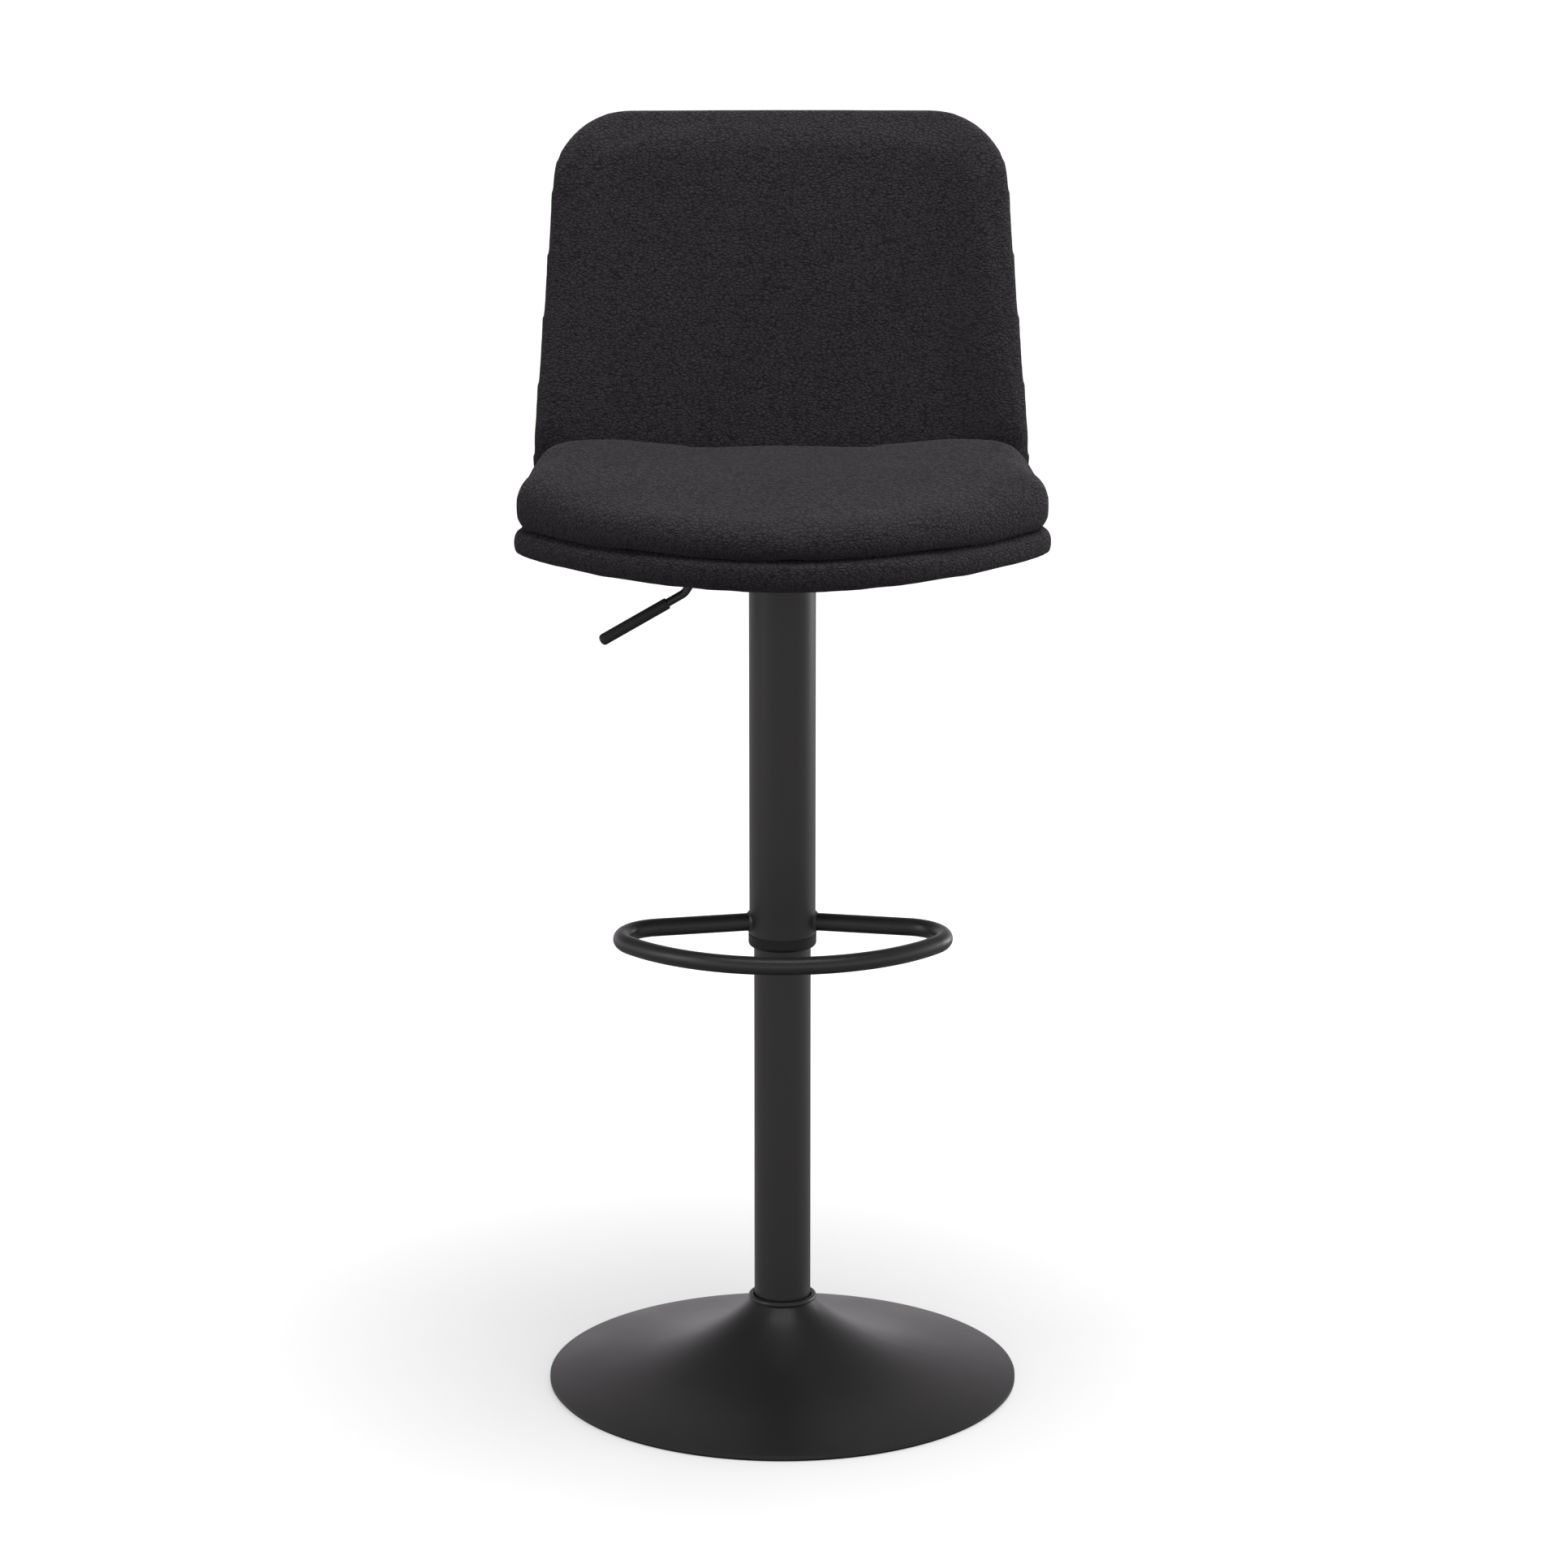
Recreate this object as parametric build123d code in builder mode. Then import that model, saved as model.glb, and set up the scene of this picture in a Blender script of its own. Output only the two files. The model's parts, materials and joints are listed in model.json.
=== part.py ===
from build123d import *

import os
from math import asin, cos, radians, sin, sqrt, tan

# Height-adjustable swivel bar stool: trumpet base, telescopic gas column, D-shaped foot ring,
# upholstered shell seat with a loose cushion. Millimetres, +Z up, origin on the floor under the
# column, the sitter faces -Y and the height lever is on the -X side. The seat is at its highest.

# Base
base_radius = 212.0
base_wall = 2.0
neck_radius = 29.5
neck_height = 77.0
flare_radius = 53.0
flare_height = 56.5
apron_radius = 87.0
apron_height = 37.0
rim_height = 6.0
neck_slope = 50.0
rim_slope = 12.0
rim_hem = 8.0
collar_section = 2.5
collar_rise = 2.2
floor_ring_height = 2.5
floor_ring_width = 23.5
floor_ring_setback = 1.5
plate_wall = 2.5
plate_rise = 9.0
plate_dish_radius = 76.0
plate_edge_setback = 16.0
plate_hole_radius = 15.0
plate_bend_shift = 1.0

# Column
column_radius = 25.4
column_wall = 2.0
column_top = 495.0
flange_radius = 60.0
flange_wall = 5.0
flange_bolt_circle = 45.0
flange_bolt_radius = 4.0
bush_length = 82.0
bush_lip = 3.0
race_radius = 12.0
race_wall = 2.0
ball_radius = 1.45
ball_count = 10
bumper_length = 8.0

# Gas spring
stroke = 205.0
cylinder_radius = 14.0
cylinder_wall = 2.0
cylinder_top = 752.5
cylinder_bottom = 410.0
cylinder_head_length = 62.0
taper_length = 52.5
taper_slope = 0.025
rod_radius = 5.0
rod_neck_radius = 4.0
gland_length = 14.0
piston_length = 12.0
piston_lift = 8.0
release_pin_radius = 3.0
release_pin_length = 20.0
release_pin_travel = 3.0

# Outer sleeve and foot ring
sleeve_radius = 29.6
sleeve_wall = 1.5
sleeve_bottom = 410.0
sleeve_top = 744.0
end_cap_length = 11.0
end_cap_skirt = 28.0
end_cap_lip = 0.8
end_cap_face = 1.5
bottoming_gap = 4.0
top_bush_length = 13.0
ring_height = 432.0
ring_tube_radius = 8.0
ring_tube_wall = 1.5
ring_front = 148.0
ring_front_radius = 168.4
ring_corner_radius = 38.0
ring_arm_angle = 12.5
ring_arm_offset = 3.7
weld_size = 2.4
weld_toe = 0.2

# Seat mechanism
mechanism_top = 773.0
mechanism_wall = 2.5
mechanism_length = 180.0
mechanism_width = 150.0
mechanism_corner = 12.0
hat_length = 92.0
hat_width = 60.0
hat_depth = 28.0
hat_corner = 6.0
socket_radius = 19.0
socket_length = 28.0
socket_stand = 2.5
seat_bolt_x = 72.0
seat_bolt_y = 56.0
seat_bolt_radius = 3.0

# Height lever
lever_height = 762.5
lever_radius = 3.75
lever_pivot_x = -30.0
lever_inner_x = 6.0
lever_knee = (-66.0, 762.5)
lever_elbow = (-86.0, 731.0)
grip_start = (-101.0, 722.0)
grip_angle = 30.0
grip_length = 68.5
grip_radius = 5.25
lever_pin_radius = 2.0
lever_bend_radius = 12.0

# Seat
seat_half_width = 232.0
seat_front = 214.0
seat_wide_y = -19.0
shoulder_inset = 6.5
shoulder_y = -49.0
brow_radius = 190.0
brow_angle = 33.5
seat_rear_half_width = 221.0
seat_rear_y = 165.0
board_wall = 12.0
pan_thickness = 24.5
board_inset = 14.0
dust_cover_wall = 1.0
dust_cover_setback = 2.0
cushion_thickness = 43.0
cushion_inset = 3.0

# Backrest
back_top = 1134.5
back_recline = 14.0
back_foot_y = 132.0
back_foot_height = 838.0
back_radius = 1400.0
back_thickness = 34.0
wing_start = 130.0
wing_radius = 100.0
back_foot_half_width = 226.0
back_head_half_width = 198.0
back_corner_radius = 67.0
back_board_wall = 9.0
back_foam_front = 17.0
back_board_bottom = 846.0
bracket_x = 100.0
bracket_width = 30.0
bracket_wall = 4.0
bracket_seat_reach = 95.0
bracket_back_reach = 130.0
bracket_seat_screw_steps = (12.0, 42.0)
bracket_back_screw_rises = (85.0, 115.0)
screw_radius = 2.0
screw_length = 9.0

# Clearances
running_gap = 0.06
clearance = 0.4
moving_gap = 0.3
cushion_gap = 0.5
cushion_setback = 1.0

# Stacked heights
plate_top = floor_ring_height + plate_rise + plate_wall
flange_top = plate_top + flange_wall
lower_race_top = flange_top + race_wall
upper_race_bottom = lower_race_top + 2 * ball_radius + 2 * running_gap
upper_race_top = upper_race_bottom + race_wall
clip_top = plate_top - moving_gap
piston_bottom = cylinder_bottom + gland_length + piston_lift
piston_top = piston_bottom + piston_length
bush_bottom = column_top - bush_length
taper_bottom = cylinder_top - taper_length
sleeve_bore = sleeve_radius - sleeve_wall
top_bush_bottom = column_top + bush_lip + stroke + bottoming_gap
hat_floor = mechanism_top - hat_depth + mechanism_wall
socket_top = hat_floor + socket_stand
board_bottom = mechanism_top + dust_cover_wall
board_top = board_bottom + board_wall
pan_top = board_bottom + pan_thickness
cushion_bottom = pan_top + cushion_gap
release_pin_top = lever_height - lever_radius - moving_gap
tee_nut_flange = 1.0
race_bore = rod_neck_radius + running_gap

seat_bolt_places = [(x, y) for x in (-seat_bolt_x, seat_bolt_x) for y in (-seat_bolt_y, seat_bolt_y)]


def finish(piece, name):
    """Labels a piece and writes it."""
    piece.part.label = name
    export_step(piece.part, f"parts/{name}.step")


def annulus(outer, inner):
    """Inside a sketch: a disc with a round hole."""
    Circle(outer)
    Circle(inner, mode=Mode.SUBTRACT)


def outline(*points):
    """Inside a sketch: the polygon through the points."""
    Polygon(*points, align=None)


def taper_radius(height):
    """Radius of the gas cylinder's taper at a height."""
    return cylinder_radius - (height - taper_bottom) * taper_slope


os.makedirs("parts", exist_ok=True)

# ---------------------------------------------------------------- base


def trumpet(drop):
    """Inside a line: the base's flared outline from neck to rim, lowered by drop."""
    return Spline(
        (neck_radius, neck_height - drop),
        (flare_radius, flare_height - drop),
        (apron_radius, apron_height - drop),
        (base_radius, rim_height - drop),
        tangents=[
            (cos(radians(neck_slope)), -sin(radians(neck_slope))),
            (cos(radians(rim_slope)), -sin(radians(rim_slope))),
        ],
    )


# Spun steel trumpet with a flat lip at the neck and a hem folded under at the rim
with BuildPart() as base_shell:
    with BuildSketch(Plane.XZ):
        with BuildLine():
            outside = trumpet(0)
            inside = trumpet(base_wall)
            Line(outside @ 1, inside @ 1)
            Polyline(
                outside @ 0,
                (column_radius + clearance, neck_height),
                (column_radius + clearance, neck_height - base_wall),
                inside @ 0,
            )
        make_face()
        with Locations((base_radius - rim_hem / 2, (rim_height + floor_ring_height) / 2)):
            Rectangle(rim_hem, rim_height - floor_ring_height)
    revolve(axis=Axis.Z)
finish(base_shell, "base_shell")

# Trim ring standing on the neck around the column
with BuildPart() as base_collar:
    with BuildSketch(Plane.XZ):
        with Locations((column_radius + clearance + collar_section, neck_height + collar_rise)):
            Circle(collar_section)
        with Locations((column_radius, neck_height - collar_section)):
            Rectangle(4 * collar_section, 2 * collar_section, mode=Mode.SUBTRACT)
    revolve(axis=Axis.Z)
finish(base_collar, "base_collar")

# Rubber floor protector under the hem
floor_ring_radius = base_radius - floor_ring_setback
with BuildPart() as floor_ring:
    with BuildSketch():
        annulus(floor_ring_radius, floor_ring_radius - floor_ring_width)
    extrude(amount=floor_ring_height)
    chamfer(floor_ring.edges().group_by(Axis.Z)[0].sort_by(SortBy.LENGTH)[-1], floor_ring_height / 3)
finish(floor_ring, "floor_ring")

# Steel counterweight plate that closes the base, dished up in the middle for the bolt heads
plate_radius = base_radius - plate_edge_setback
plate_low = floor_ring_height
plate_ramp = plate_dish_radius + plate_rise
with BuildPart() as bottom_plate:
    with BuildSketch(Plane.XZ):
        outline(
            (plate_hole_radius, plate_top - plate_wall),
            (plate_dish_radius, plate_top - plate_wall),
            (plate_ramp, plate_low),
            (plate_radius, plate_low),
            (plate_radius, plate_low + plate_wall),
            (plate_ramp + plate_bend_shift, plate_low + plate_wall),
            (plate_dish_radius + plate_bend_shift, plate_top),
            (plate_hole_radius, plate_top),
        )
    revolve(axis=Axis.Z)
    with PolarLocations(flange_bolt_circle, 4, start_angle=45):
        Hole(flange_bolt_radius + clearance)
finish(bottom_plate, "bottom_plate")

# Flange welded to the foot of the column, bolted to the plate
with BuildPart() as column_flange:
    with BuildSketch(Plane.XY.offset(plate_top)):
        annulus(flange_radius, race_bore)
        with PolarLocations(flange_bolt_circle, 4, start_angle=45):
            Circle(flange_bolt_radius + clearance, mode=Mode.SUBTRACT)
    extrude(amount=flange_wall)
finish(column_flange, "column_flange")

# Hexagon bolts from below, with washers and nuts on the flange
bolt_head_height = 5.3
bolt_head_radius = 6.5
washer_height = 1.6
nut_height = 6.5
bolt_spare = 2.0
bolt_head_bottom = plate_top - plate_wall - bolt_head_height
with BuildPart() as flange_bolts:
    with BuildSketch(Plane.XY.offset(bolt_head_bottom)):
        with PolarLocations(flange_bolt_circle, 4, start_angle=45):
            RegularPolygon(bolt_head_radius, 6, major_radius=False)
    extrude(amount=bolt_head_height)
    with BuildSketch(Plane.XY.offset(plate_top - plate_wall)):
        with PolarLocations(flange_bolt_circle, 4, start_angle=45):
            Circle(flange_bolt_radius)
    extrude(amount=plate_wall + flange_wall + washer_height + nut_height + bolt_spare)
finish(flange_bolts, "flange_bolts")

with BuildPart() as flange_washers:
    with BuildSketch(Plane.XY.offset(flange_top)):
        with PolarLocations(flange_bolt_circle, 4, start_angle=45):
            annulus(2 * flange_bolt_radius, flange_bolt_radius + clearance)
    extrude(amount=washer_height)
finish(flange_washers, "flange_washers")

with BuildPart() as flange_nuts:
    with BuildSketch(Plane.XY.offset(flange_top + washer_height)):
        with PolarLocations(flange_bolt_circle, 4, start_angle=45):
            RegularPolygon(bolt_head_radius, 6, major_radius=False)
            Circle(flange_bolt_radius, mode=Mode.SUBTRACT)
    extrude(amount=nut_height)
finish(flange_nuts, "flange_nuts")

# ---------------------------------------------------------------- column

with BuildPart() as lower_column:
    with BuildSketch(Plane.XY.offset(flange_top)):
        annulus(column_radius, column_radius - column_wall)
    extrude(amount=column_top - flange_top)
finish(lower_column, "lower_column")

# Plastic bush that guides the gas cylinder in the top of the column
with BuildPart() as guide_bush:
    with BuildSketch(Plane.XY.offset(bush_bottom)):
        Circle(column_radius - column_wall)
    extrude(amount=bush_length)
    with BuildSketch(Plane.XY.offset(column_top)):
        Circle(column_radius - clearance)
    extrude(amount=bush_lip)
    with BuildSketch(Plane.XY.offset(bush_bottom)):
        Circle(cylinder_radius + running_gap)
    extrude(amount=bush_length + bush_lip, mode=Mode.SUBTRACT)
finish(guide_bush, "guide_bush")

# Thrust bearing that lets the rod turn on the flange
with BuildPart() as bearing_race_lower:
    with BuildSketch(Plane.XY.offset(flange_top)):
        annulus(race_radius, race_bore)
    extrude(amount=race_wall)
finish(bearing_race_lower, "bearing_race_lower")

ball_orbit = (race_radius + race_bore) / 2
with BuildPart() as thrust_balls:
    with Locations(Plane.XY.offset(lower_race_top + running_gap + ball_radius)):
        with PolarLocations(ball_orbit, ball_count):
            Sphere(ball_radius)
finish(thrust_balls, "thrust_balls")

with BuildPart() as bearing_race_upper:
    with BuildSketch(Plane.XY.offset(upper_race_bottom)):
        annulus(race_radius, rod_neck_radius)
    extrude(amount=race_wall)
finish(bearing_race_upper, "bearing_race_upper")

with BuildPart() as rod_bumper:
    with BuildSketch(Plane.XY.offset(upper_race_top)):
        annulus(race_radius, rod_radius)
    extrude(amount=bumper_length)
finish(rod_bumper, "rod_bumper")

# ---------------------------------------------------------------- gas spring

# Rod: a neck through the bearing with a clip groove, the shank, and a neck for the piston
clip_wall = 1.2
clip_groove_radius = 3.0
clip_bottom = clip_top - clip_wall
rod_end_length = 2.0
rod_foot = clip_bottom - rod_end_length
piston_nut_height = 5.0
piston_nut_radius = 6.5
rod_head = piston_top + piston_nut_height
with BuildPart() as piston_rod:
    with BuildSketch(Plane.XZ):
        outline(
            (0, rod_foot),
            (rod_neck_radius, rod_foot),
            (rod_neck_radius, clip_bottom),
            (clip_groove_radius, clip_bottom),
            (clip_groove_radius, clip_top),
            (rod_neck_radius, clip_top),
            (rod_neck_radius, upper_race_top),
            (rod_radius, upper_race_top),
            (rod_radius, piston_bottom),
            (rod_neck_radius, piston_bottom),
            (rod_neck_radius, rod_head),
            (0, rod_head),
        )
    revolve(axis=Axis.Z)
finish(piston_rod, "piston_rod")

with BuildPart() as rod_clip:
    with BuildSketch(Plane.XY.offset(clip_bottom)):
        annulus(2 * rod_neck_radius, clip_groove_radius)
    extrude(amount=clip_wall)
finish(rod_clip, "rod_clip")

cylinder_bore = cylinder_radius - cylinder_wall
seal_height = 4.0
seal_bottom = piston_bottom + (piston_length - seal_height) / 2
seal_depth = 2.5
seal_groove_radius = cylinder_bore - seal_depth
with BuildPart() as piston:
    with BuildSketch(Plane.XY.offset(piston_bottom)):
        annulus(cylinder_bore - 2 * running_gap, rod_neck_radius)
    extrude(amount=piston_length)
    with BuildSketch(Plane.XY.offset(seal_bottom)):
        annulus(cylinder_bore, seal_groove_radius)
    extrude(amount=seal_height, mode=Mode.SUBTRACT)
finish(piston, "piston")

with BuildPart() as piston_seal:
    with BuildSketch(Plane.XY.offset(seal_bottom)):
        annulus(cylinder_bore - running_gap, seal_groove_radius)
    extrude(amount=seal_height)
finish(piston_seal, "piston_seal")

with BuildPart() as piston_nut:
    with BuildSketch(Plane.XY.offset(piston_top)):
        RegularPolygon(piston_nut_radius, 6, major_radius=False)
        Circle(rod_neck_radius, mode=Mode.SUBTRACT)
    extrude(amount=piston_nut_height)
finish(piston_nut, "piston_nut")

# Pressure cylinder with a tapered head, bored for the release pin
pin_bore_bottom = release_pin_top - release_pin_length - release_pin_travel - clearance
with BuildPart() as gas_cylinder:
    with BuildSketch(Plane.XZ):
        outline(
            (0, pin_bore_bottom),
            (0, cylinder_top - cylinder_head_length),
            (cylinder_bore, cylinder_top - cylinder_head_length),
            (cylinder_bore, cylinder_bottom),
            (cylinder_radius, cylinder_bottom),
            (cylinder_radius, taper_bottom),
            (taper_radius(cylinder_top), cylinder_top),
            (release_pin_radius + running_gap, cylinder_top),
            (release_pin_radius + running_gap, pin_bore_bottom),
        )
    revolve(axis=Axis.Z)
finish(gas_cylinder, "gas_cylinder")

with BuildPart() as cylinder_gland:
    with BuildSketch(Plane.XY.offset(cylinder_bottom)):
        annulus(cylinder_bore, rod_radius + running_gap)
    extrude(amount=gland_length)
finish(cylinder_gland, "cylinder_gland")

with BuildPart() as release_pin:
    with BuildSketch(Plane.XY.offset(release_pin_top - release_pin_length)):
        Circle(release_pin_radius)
    extrude(amount=release_pin_length)
    fillet(release_pin.edges().group_by(Axis.Z)[-1], release_pin_radius / 2)
finish(release_pin, "release_pin")

# ---------------------------------------------------------------- sleeve and foot ring

with BuildPart() as outer_sleeve:
    with BuildSketch(Plane.XY.offset(sleeve_bottom + end_cap_length)):
        annulus(sleeve_radius, sleeve_bore)
    extrude(amount=sleeve_top - sleeve_bottom - end_cap_length)
finish(outer_sleeve, "outer_sleeve")

# Plastic cap pressed into the sleeve's lower end, sliding on the column
cap_radius = sleeve_radius + end_cap_lip
cap_bore = column_radius + running_gap
with BuildPart() as sleeve_end_cap:
    with BuildSketch(Plane.XY.offset(sleeve_bottom)):
        annulus(cap_radius, cap_bore)
    extrude(amount=end_cap_length)
    with BuildSketch(Plane.XY.offset(sleeve_bottom + end_cap_length)):
        annulus(sleeve_bore, cap_bore)
    extrude(amount=end_cap_skirt)
    lower_rim = sleeve_end_cap.edges().group_by(Axis.Z)[0].sort_by(SortBy.LENGTH)[-1]
    fillet(lower_rim, cap_radius - column_radius - end_cap_face)
finish(sleeve_end_cap, "sleeve_end_cap")

# Steel bush that hangs the sleeve on the cylinder's taper
top_bush_top = top_bush_bottom + top_bush_length
with BuildPart() as sleeve_top_bush:
    with BuildSketch(Plane.XZ):
        outline(
            (taper_radius(top_bush_bottom), top_bush_bottom),
            (sleeve_bore, top_bush_bottom),
            (sleeve_bore, top_bush_top),
            (taper_radius(top_bush_top), top_bush_top),
        )
    revolve(axis=Axis.Z)
finish(sleeve_top_bush, "sleeve_top_bush")

# Foot ring: two straight arms, rounded corners and an arched front bar, coped to the sleeve
arm_cos = cos(radians(ring_arm_angle))
arm_sin = sin(radians(ring_arm_angle))
front_centre_y = ring_front_radius - ring_front
arm_rise = ring_arm_offset - front_centre_y
corner_orbit = ring_front_radius - ring_corner_radius
arm_reach = arm_rise * arm_sin + sqrt(corner_orbit**2 - (ring_corner_radius - arm_rise * arm_cos) ** 2)
arm_start = sleeve_radius - 2 * sleeve_wall


def arm_point(side, reach):
    """A point on an arm's centreline; side is -1 or 1."""
    return (side * reach * arm_cos, ring_arm_offset - reach * arm_sin, ring_height)


def arm_plane(side):
    """Section plane of an arm inside the sleeve wall, facing outwards."""
    return Plane(origin=arm_point(side, arm_start), z_dir=(side * arm_cos, -arm_sin, 0))


def front_bar_end(side):
    """Where a corner's arc runs into the front bar's arc."""
    arm_end = arm_point(side, arm_reach)
    corner_x = arm_end[0] - side * ring_corner_radius * arm_sin
    corner_y = arm_end[1] - ring_corner_radius * arm_cos
    stretch = ring_front_radius / corner_orbit
    return (corner_x * stretch, front_centre_y + (corner_y - front_centre_y) * stretch, ring_height)


with BuildPart() as foot_ring:
    with BuildLine() as ring_path:
        Line(arm_point(-1, arm_start), arm_point(-1, arm_reach))
        TangentArc(arm_point(-1, arm_reach), front_bar_end(-1), tangent=(-arm_cos, -arm_sin, 0))
        ThreePointArc(front_bar_end(-1), (0, -ring_front, ring_height), front_bar_end(1))
        TangentArc(arm_point(1, arm_reach), front_bar_end(1), tangent=(arm_cos, -arm_sin, 0))
        Line(arm_point(1, arm_reach), arm_point(1, arm_start))
    with BuildSketch(arm_plane(-1)):
        annulus(ring_tube_radius, ring_tube_radius - ring_tube_wall)
    sweep(path=ring_path.wires()[0])
    with BuildSketch(Plane.XY.offset(ring_height - 2 * ring_tube_radius)):
        Circle(sleeve_radius)
    extrude(amount=4 * ring_tube_radius, mode=Mode.SUBTRACT)
finish(foot_ring, "foot_ring")

# Weld beads where the arms meet the sleeve
with BuildPart() as foot_ring_welds:
    for side in (-1, 1):
        with BuildSketch(arm_plane(side)):
            Circle(ring_tube_radius + weld_size)
        extrude(amount=sleeve_radius - arm_start + weld_size)
    for end in (0, -1):
        outer_circle = foot_ring_welds.edges().filter_by(GeomType.CIRCLE).sort_by(Axis.X)[end]
        chamfer(outer_circle, weld_size - weld_toe)
    for side in (-1, 1):
        with BuildSketch(arm_plane(side)):
            Circle(ring_tube_radius)
        extrude(amount=3 * sleeve_radius, mode=Mode.SUBTRACT)
    with BuildSketch(Plane.XY.offset(ring_height - 2 * ring_tube_radius)):
        Circle(sleeve_radius)
    extrude(amount=4 * ring_tube_radius, mode=Mode.SUBTRACT)
finish(foot_ring_welds, "foot_ring_welds")

# ---------------------------------------------------------------- seat mechanism

slot_gap = 2.0
slot_bridge = 1.0
slot_bottom = lever_height - lever_radius - slot_gap
slot_top = mechanism_top - mechanism_wall - slot_bridge
with BuildPart() as seat_plate:
    with BuildSketch(Plane.XY.offset(mechanism_top - mechanism_wall)):
        RectangleRounded(mechanism_length, mechanism_width, mechanism_corner)
    extrude(amount=mechanism_wall)
    with BuildSketch(Plane.XY.offset(mechanism_top - hat_depth)):
        RectangleRounded(hat_length, hat_width, hat_corner)
    extrude(amount=hat_depth)
    with BuildSketch(Plane.XY.offset(hat_floor)):
        RectangleRounded(
            hat_length - 2 * mechanism_wall, hat_width - 2 * mechanism_wall, hat_corner - mechanism_wall
        )
    extrude(amount=hat_depth, mode=Mode.SUBTRACT)
    with BuildSketch(Plane.XY.offset(mechanism_top - hat_depth)):
        Circle(socket_radius)
    extrude(amount=mechanism_wall, mode=Mode.SUBTRACT)
    with BuildSketch(Plane.XY.offset(mechanism_top - mechanism_wall)):
        with Locations(*seat_bolt_places):
            Circle(seat_bolt_radius + clearance)
    extrude(amount=mechanism_wall, mode=Mode.SUBTRACT)
    # Slot for the lever through the wall on its side
    with BuildSketch(Plane.XY.offset(slot_bottom)):
        with Locations((-hat_length / 2, 0)):
            Rectangle(4 * mechanism_wall, 2 * (lever_radius + slot_gap))
    extrude(amount=slot_top - slot_bottom, mode=Mode.SUBTRACT)
finish(seat_plate, "seat_plate")

with BuildPart() as taper_socket:
    with BuildSketch(Plane.XZ):
        outline(
            (taper_radius(socket_top - socket_length), socket_top - socket_length),
            (socket_radius, socket_top - socket_length),
            (socket_radius, socket_top),
            (taper_radius(socket_top), socket_top),
        )
    revolve(axis=Axis.Z)
finish(taper_socket, "taper_socket")

# U bracket and pin that carry the lever inside the mechanism
ear_wall = 2.5
ear_gap = 0.5
ear_crown = 5.0
ear_inside = lever_radius + ear_gap
bracket_half_length = 6.0
bracket_height = lever_height + ear_crown - hat_floor
pin_stub = 1.5
with BuildPart() as lever_bracket:
    with BuildSketch(Plane.XY.offset(hat_floor)):
        with Locations((lever_pivot_x, 0)):
            Rectangle(2 * bracket_half_length, 2 * (ear_inside + ear_wall))
    extrude(amount=bracket_height)
    with BuildSketch(Plane.XY.offset(hat_floor + ear_wall)):
        with Locations((lever_pivot_x, 0)):
            Rectangle(2 * bracket_half_length, 2 * ear_inside)
    extrude(amount=bracket_height, mode=Mode.SUBTRACT)
    with BuildSketch(Plane.XZ):
        with Locations((lever_pivot_x, lever_height)):
            Circle(lever_pin_radius)
    extrude(amount=hat_width, both=True, mode=Mode.SUBTRACT)
finish(lever_bracket, "lever_bracket")

with BuildPart() as lever_pin:
    with BuildSketch(Plane.XZ):
        with Locations((lever_pivot_x, lever_height)):
            Circle(lever_pin_radius)
    extrude(amount=ear_inside + ear_wall + pin_stub, both=True)
finish(lever_pin, "lever_pin")

# ---------------------------------------------------------------- height lever

grip_cos = cos(radians(grip_angle))
grip_sin = sin(radians(grip_angle))
grip_cap = 4.0
grip_tip_flat = 1.5
grip_mouth_round = 0.6
rod_tip = (
    grip_start[0] - (grip_length - grip_cap) * grip_cos,
    grip_start[1] - (grip_length - grip_cap) * grip_sin,
)
with BuildPart() as lever_rod:
    with BuildLine(Plane.XZ) as lever_path:
        FilletPolyline(
            (lever_inner_x, lever_height), lever_knee, lever_elbow, rod_tip, radius=lever_bend_radius
        )
    with BuildSketch(Plane(origin=(lever_inner_x, 0, lever_height), z_dir=(-1, 0, 0))):
        Circle(lever_radius)
    sweep(path=lever_path.wires()[0])
    with BuildSketch(Plane.XZ):
        with Locations((lever_pivot_x, lever_height)):
            Circle(lever_pin_radius + running_gap)
    extrude(amount=hat_width, both=True, mode=Mode.SUBTRACT)
finish(lever_rod, "lever_rod")

grip_plane = Plane(origin=(grip_start[0], 0, grip_start[1]), z_dir=(-grip_cos, 0, -grip_sin))
with BuildPart() as lever_grip:
    with BuildSketch(grip_plane):
        Circle(grip_radius)
    extrude(amount=grip_length)
    fillet(lever_grip.edges().sort_by(Axis.X)[0], grip_radius - grip_tip_flat)
    fillet(lever_grip.edges().sort_by(Axis.X)[-1], grip_mouth_round)
    add(lever_rod.part, mode=Mode.SUBTRACT)
finish(lever_grip, "lever_grip")

# ---------------------------------------------------------------- seat and back outlines

lean = tan(radians(back_recline))
back_direction = (0, sin(radians(back_recline)), cos(radians(back_recline)))
far = 400.0
# Plane square to the reclined back, below the seat; the back's sections are extruded up from it
back_plane = Plane(
    origin=(0, back_foot_y, back_foot_height), x_dir=(1, 0, 0), z_dir=back_direction
).offset(-far / 2)


def seat_outline(inset):
    """Inside a sketch: the seat's plan outline, drawn in by inset, running on behind the back."""
    turn = radians(brow_angle)
    brow = (brow_radius * sin(turn), brow_radius * (1 - cos(turn)) - seat_front)
    shoulder = (seat_half_width - shoulder_inset, shoulder_y)
    with BuildLine() as drawn:
        front = TangentArc((0, -seat_front), brow, tangent=(1, 0))
        cheek = TangentArc(brow, shoulder, tangent=front % 1)
        corner = TangentArc(shoulder, (seat_half_width, seat_wide_y), tangent=cheek % 1)
        flank = TangentArc(corner @ 1, (seat_rear_half_width, seat_rear_y), tangent=corner % 1)
        Line(flank @ 1, (0, seat_rear_y))
        mirror(about=Plane.YZ)
    make_face(drawn.edges())
    if inset:
        offset(amount=-inset)


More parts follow.
